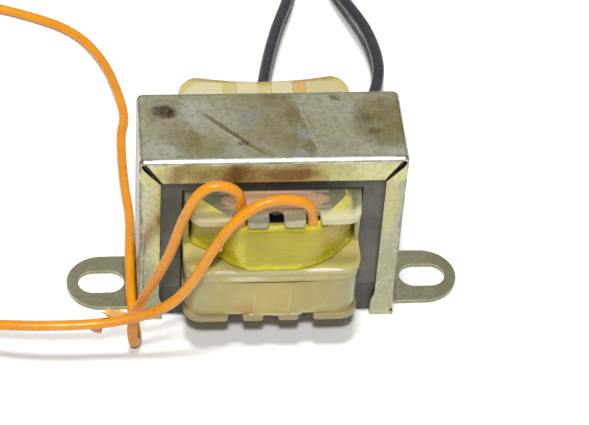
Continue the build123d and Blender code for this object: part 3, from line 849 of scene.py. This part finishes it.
def twisted_strands(name, node, route, material):
    """A stripped wire end: six strands twisted round a seventh, in line with the end of a lead."""
    strand_radius = 0.00015
    strand_sides = 8
    lay_radius = 0.0003
    bare_length = 0.006
    strands = 6
    twist = 1.5 * math.pi
    steps = 20
    weld = 1e-7
    along = (Vector(route[-1]) - Vector(route[-2])).normalized()
    place = Matrix.Translation(Vector(route[-1])) @ along.to_track_quat("Z", "Y").to_matrix().to_4x4()
    shape = bmesh.new()
    for index in range(strands + 1):
        turn = 2 * math.pi * index / strands
        reach = lay_radius if index < strands else 0.0
        centre = Matrix.Translation((reach * math.cos(turn), reach * math.sin(turn), 0))
        ring = bmesh.ops.create_circle(
            shape, cap_ends=True, radius=strand_radius, segments=strand_sides, matrix=centre,
        )["verts"]
        edges = {edge for vert in ring for edge in vert.link_edges}
        faces = {face for vert in ring for face in vert.link_faces}
        bmesh.ops.spin(
            shape, geom=ring + list(edges) + list(faces), cent=(0, 0, 0), axis=(0, 0, 1),
            dvec=(0, 0, bare_length / steps), angle=twist, steps=steps,
        )
    bmesh.ops.remove_doubles(shape, verts=shape.verts, dist=weld)
    bmesh.ops.recalc_face_normals(shape, faces=shape.faces)
    bmesh.ops.transform(shape, matrix=place, verts=shape.verts)
    return add_piece(name, shape, material, "tinned_copper", node)


def torn_shred(name, outline, y, leans, material):
    """A shred of insulation torn up from a lead: a thin crumpled scrap that leans forwards or back."""
    thickness = 0.00018
    crumple = 0.00025
    crumple_scale = 1500
    cuts = 3
    base = min(z for x, z in outline)
    shape = bmesh.new()
    shape.faces.new([shape.verts.new((x, y, z)) for x, z in outline])
    bmesh.ops.triangulate(shape, faces=shape.faces[:])
    bmesh.ops.subdivide_edges(shape, edges=shape.edges[:], cuts=cuts, use_grid_fill=True)
    for vert in shape.verts:
        vert.co.y += leans * (vert.co.z - base) + crumple * noise.noise(vert.co * crumple_scale)
    bmesh.ops.solidify(shape, geom=shape.faces[:], thickness=thickness)
    bmesh.ops.recalc_face_normals(shape, faces=shape.faces)
    return add_piece(name, shape, material, "orange_insulation")


tinned, tree, shader = new_material("tinned_strands", metallic=1.0)
tin_bright = srgb(214, 210, 204)
tin_dull = srgb(170, 150, 128)
dull = mottle(tree, 2000, low=0.35, high=0.65)
tree.links.new(tint(tree, dull, tin_bright, tin_dull), shader.inputs["Base Color"])
tree.links.new(spread(tree, dull, low=0.22, high=0.42), shader.inputs["Roughness"])

orange, tree, shader = new_material("orange_insulation", coat_weight=0.18, coat_roughness=0.24)
orange_bright = srgb(221, 143, 2)
orange_deep = srgb(211, 131, 1)
orange_brown = srgb(184, 112, 34)
speck = srgb(120, 70, 26)
wear_and_highlight = stain(
    tree, centre=(-0.0205, -0.0140, 0.006), half_size=(0.0055, 0.005, 0.013),
    softness=0.6, wander=0.003, grain=300,
)
scuffs = mottle(tree, 900, low=0.4, high=0.7)
colour = tint(tree, mottle(tree, 260, low=0.35, high=0.7), orange_bright, orange_deep, share=0.7)
colour = tint(tree, wear_and_highlight, colour, orange_brown, share=0.8)
colour = tint(tree, mottle(tree, 1100, low=0.70, high=0.76), colour, speck, share=0.7)
tree.links.new(colour, shader.inputs["Base Color"])
tree.links.new(spread(tree, scuffs, low=0.26, high=0.42), shader.inputs["Roughness"])
raise_surface(tree, shader, [(scuffs, 0.00002)])

black, tree, shader = new_material("black_insulation", coat_weight=0.2, coat_roughness=0.25)
black_blue = srgb(38, 40, 47)
black_worn = srgb(54, 56, 62)
scuffs = mottle(tree, 800, low=0.45, high=0.75)
tree.links.new(tint(tree, scuffs, black_blue, black_worn), shader.inputs["Base Color"])
tree.links.new(spread(tree, scuffs, low=0.36, high=0.5), shader.inputs["Roughness"])
raise_surface(tree, shader, [(scuffs, 0.00002)])

torn, tree, shader = new_material("torn_insulation", roughness=0.4, alpha=0.85)
torn_orange = srgb(232, 158, 44)
torn_pale = srgb(244, 196, 112)
torn_brown = srgb(150, 84, 34)
frayed = mottle(tree, 900, low=0.35, high=0.65)
burnt = stain(tree, centre=(-0.0284, -0.0172, 0.0068), half_size=(0.0016, 0.002, 0.0012))
colour = tint(tree, frayed, torn_orange, torn_pale)
colour = tint(tree, burnt, colour, torn_brown, share=0.8)
tree.links.new(colour, shader.inputs["Base Color"])
raise_surface(tree, shader, [(frayed, 0.00005)])
peeled = [
    (-0.0262, 0.0094), (-0.0266, 0.0104), (-0.02756, 0.0113), (-0.0268, 0.0115), (-0.02634, 0.0122),
    (-0.0259, 0.0116), (-0.0249, 0.0117), (-0.02342, 0.0110), (-0.0234, 0.0099),
]
hanging = [
    (-0.0296, 0.0080), (-0.02937, 0.0075), (-0.02836, 0.0066), (-0.02757, 0.0068), (-0.02735, 0.0080),
]
upper_nick = [(-0.0078, 0.0284), (-0.0073, 0.0278), (-0.0070, 0.0286), (-0.0076, 0.0292)]
lower_nick = [(-0.0096, 0.0252), (-0.0089, 0.0244), (-0.0085, 0.0252), (-0.0091, 0.0262)]
shreds = [
    torn_shred(f"{kind}_shred", outline, y, leans, torn)
    for kind, outline, y, leans in (
        ("peeled", peeled, -0.0172, 0.1),
        ("hanging", hanging, -0.0173, -0.2),
        ("upper", upper_nick, -0.0170, 0),
        ("lower", lower_nick, -0.0172, 0),
    )
]
orange_left_route = [
    (-0.0055, -0.0141, 0.0236),
    (-0.00555, -0.0141, 0.0292),
    (-0.0059, -0.0143, 0.0352),
    (-0.0112, -0.0145, 0.0367),
    (-0.0144, -0.0144, 0.0306),
    (-0.0166, -0.0142, 0.0208),
    (-0.0202, -0.0143, 0.0126),
    (-0.0226, -0.0149, 0.0072),
    (-0.0225, -0.0159, 0.0025),
    (-0.0216, -0.0138, 0.00095),
    (-0.0220, -0.0106, 0.0011),
    (-0.0224, -0.0066, 0.00255),
    (-0.0224, 0.0002, 0.0025),
    (-0.0223, 0.0066, 0.00245),
    (-0.0219, 0.0155, 0.0009),
    (-0.0227, 0.0235, 0.0009),
    (-0.0229, 0.0310, 0.0009),
    (-0.0229, 0.0368, 0.0009),
    (-0.0220, 0.0413, 0.0009),
    (-0.0228, 0.0470, 0.0009),
    (-0.0253, 0.0570, 0.0009),
    (-0.0308, 0.0660, 0.0009),
    (-0.0410, 0.0714, 0.0009),
    (-0.0520, 0.0752, 0.0009),
    (-0.0610, 0.0800, 0.0009),
]
orange_right_route = [
    (0.0059, -0.0141, 0.0238),
    (0.00595, -0.0141, 0.0282),
    (0.0050, -0.0146, 0.0326),
    (-0.0012, -0.0153, 0.0341),
    (-0.0065, -0.0165, 0.0311),
    (-0.0101, -0.0172, 0.0250),
    (-0.0131, -0.0177, 0.0180),
    (-0.0173, -0.0176, 0.0120),
    (-0.0260, -0.0172, 0.0087),
    (-0.0360, -0.0173, 0.0085),
    (-0.0455, -0.0160, 0.0078),
    (-0.0540, -0.0120, 0.0046),
    (-0.0602, -0.0048, 0.0018),
    (-0.0628, 0.0048, 0.0009),
    (-0.0612, 0.0148, 0.0009),
    (-0.0568, 0.0238, 0.0009),
    (-0.0530, 0.0330, 0.0009),
    (-0.0526, 0.0426, 0.0009),
]
black_left_route = [
    (-0.00578, 0.01335, 0.0110),
    (-0.0057, 0.01335, 0.0033),
    (-0.0044, 0.0226, 0.0037),
    (-0.0006, 0.0335, 0.0039),
    (0.0028, 0.0435, 0.0041),
    (0.0046, 0.0530, 0.0042),
    (0.0070, 0.0625, 0.0040),
    (0.0099, 0.0714, 0.0032),
    (0.0118, 0.0805, 0.0019),
    (0.0096, 0.0890, 0.0012),
    (0.0015, 0.0946, 0.00115),
    (-0.0085, 0.0954, 0.00115),
]
black_right_route = [
    (0.00578, 0.01335, 0.0110),
    (0.0059, 0.01335, 0.0033),
    (0.0094, 0.0219, 0.0037),
    (0.0160, 0.0306, 0.0040),
    (0.0222, 0.0390, 0.0042),
    (0.0252, 0.0485, 0.0051),
    (0.0240, 0.0585, 0.0056),
    (0.0212, 0.0670, 0.0050),
    (0.0186, 0.0756, 0.0034),
    (0.0184, 0.0846, 0.0017),
    (0.0236, 0.0920, 0.0012),
    (0.0326, 0.0954, 0.00115),
    (0.0424, 0.0948, 0.00115),
]
orange_diameter = 0.0017
black_diameter = 0.0022
top_notch = 0.0287
bottom_notch = 0.0070
for colour_name, side, route, diameter, length, level, material, torn_off in (
    ("orange", "left", orange_left_route, orange_diameter, 0.1698, top_notch, orange, []),
    ("orange", "right", orange_right_route, orange_diameter, 0.1402, top_notch, orange, shreds),
    ("black", "left", black_left_route, black_diameter, 0.1038, bottom_notch, black, []),
    ("black", "right", black_right_route, black_diameter, 0.1116, bottom_notch, black, []),
):
    name = f"{colour_name}_wire_{side}"
    node = f"{colour_name}_lead_{side}"
    bare = twisted_strands(f"{colour_name}_strands_{side}", f"{node}_bare_end", route, tinned)
    lay_lead(name, node, route, diameter, material)


# Table: a plain white sheet under the part, which keeps its soft shadow.
# It glows a very little to the camera and in the metal, so that it stays white away from the part.
def seen_or_mirrored(tree):
    """A mask that is 1 for what the camera sees, also in a mirror, and 0 for the light that is thrown."""
    ray = add_node(tree, "ShaderNodeLightPath")
    either = add_node(tree, "ShaderNodeMath", operation="MAXIMUM")
    tree.links.new(ray.outputs["Is Camera Ray"], either.inputs[0])
    tree.links.new(ray.outputs["Is Glossy Ray"], either.inputs[1])
    return either.outputs[0]


floor_half = 0.9
table_white = (0.94, 0.94, 0.935, 1)
glow_white = (1, 1, 1, 1)
table_glow = 0.01
shape = bmesh.new()
bmesh.ops.create_grid(shape, x_segments=1, y_segments=1, size=floor_half)
mesh = bpy.data.meshes.new("table")
shape.to_mesh(mesh)
shape.free()
table = bpy.data.objects.new("table", mesh)
bpy.context.scene.collection.objects.link(table)
white, tree, shader = new_material(
    "white_table", base_color=table_white, emission_color=glow_white,
    roughness=0.9, specular_ior_level=0.1,
)
glow = spread(tree, seen_or_mirrored(tree), low=0, high=table_glow)
tree.links.new(glow, shader.inputs["Emission Strength"])
mesh.materials.append(white)


# Light: an even pale room, darker behind the camera, with two soft round lamps over the part.
# The front lamp shines along the folds of the clamp. The top lamp, which the metal doesn't mirror,
# throws the soft shadow under the part.
def toward(azimuth, elevation):
    """The direction from the part to a place that is given by two angles in degrees."""
    azimuth = math.radians(azimuth)
    elevation = math.radians(elevation)
    return Vector((
        math.sin(azimuth) * math.cos(elevation),
        -math.cos(azimuth) * math.cos(elevation),
        math.sin(elevation),
    ))


world = bpy.data.worlds.new("studio")
bpy.context.scene.world = world
world.use_nodes = True
tree = world.node_tree
room = tree.nodes["Background"]
place = add_node(tree, "ShaderNodeTexCoord")
room_dim = (0.09, 0.09, 0.09, 1)
room_seen = (0.3, 0.3, 0.305, 1)
rear_ceiling = (0.55, 0.55, 0.54, 1)
front_ceiling = (1.3, 1.3, 1.28, 1)
behind_camera = (0.1, 0.1, 0.1, 1)
colour = room_seen
for direction, near, far, shade in (
    ((0, 0.72, 0.69), 0.35, 0.9, rear_ceiling),
    ((0, -0.64, 0.77), 0.5, 0.85, front_ceiling),
    ((0, -1, 0), 0.2, 0.5, behind_camera),
):
    away = add_node(tree, "ShaderNodeVectorMath", {1: direction}, operation="DISTANCE")
    reach = {"From Min": far, "From Max": near}
    patch = add_node(tree, "ShaderNodeMapRange", reach, interpolation_type="SMOOTHSTEP")
    tree.links.new(place.outputs["Generated"], away.inputs[0])
    tree.links.new(away.outputs["Value"], patch.inputs["Value"])
    colour = tint(tree, patch.outputs["Result"], colour, shade)
tree.links.new(tint(tree, seen_or_mirrored(tree), room_dim, colour), room.inputs["Color"])
lamp_aim = Vector((0, 0, 0.016))
lamp_distance = 1.4
for name, azimuth, elevation, size, energy, mirrored in (
    ("front_lamp", -7.6, 56, 0.14, 11.5, True),
    ("top_lamp", -30, 82.5, 0.26, 14.0, False),
):
    toward_lamp = toward(azimuth, elevation)
    light = bpy.data.lights.new(name, "AREA")
    light.shape = "DISK"
    light.size = size
    light.energy = energy
    lamp = bpy.data.objects.new(name, light)
    lamp.visible_glossy = mirrored
    bpy.context.scene.collection.objects.link(lamp)
    lamp.location = lamp_aim + toward_lamp * lamp_distance
    lamp.rotation_euler = toward_lamp.to_track_quat("Z", "Y").to_euler()


# Camera: close in front, a little to the left, looking down at about 44 degrees with a slight roll.
# Its place and lens are fitted to the photograph by the clamp's corners, the feet and their slots.
azimuth = -7.585
elevation = 43.895
roll = math.radians(4.193)
distance = 0.393449
aim = Vector((0.004667, 0, 0.016124))
focal_pixels = 2381.677
photo_width = 589
sensor_width = 36.0
back = toward(azimuth, elevation)
level_right = Vector((math.cos(math.radians(azimuth)), math.sin(math.radians(azimuth)), 0))
level_up = back.cross(level_right)
right = math.cos(roll) * level_right + math.sin(roll) * level_up
up = math.cos(roll) * level_up - math.sin(roll) * level_right
lens = bpy.data.cameras.new("camera")
lens.sensor_width = sensor_width
lens.sensor_fit = "HORIZONTAL"
lens.lens = focal_pixels / photo_width * sensor_width
camera = bpy.data.objects.new("camera", lens)
bpy.context.scene.collection.objects.link(camera)
facing = Matrix((right, up, back)).transposed().to_4x4()
camera.matrix_world = Matrix.Translation(aim + back * distance) @ facing
bpy.context.scene.camera = camera
bpy.context.scene.view_settings.view_transform = "Standard"
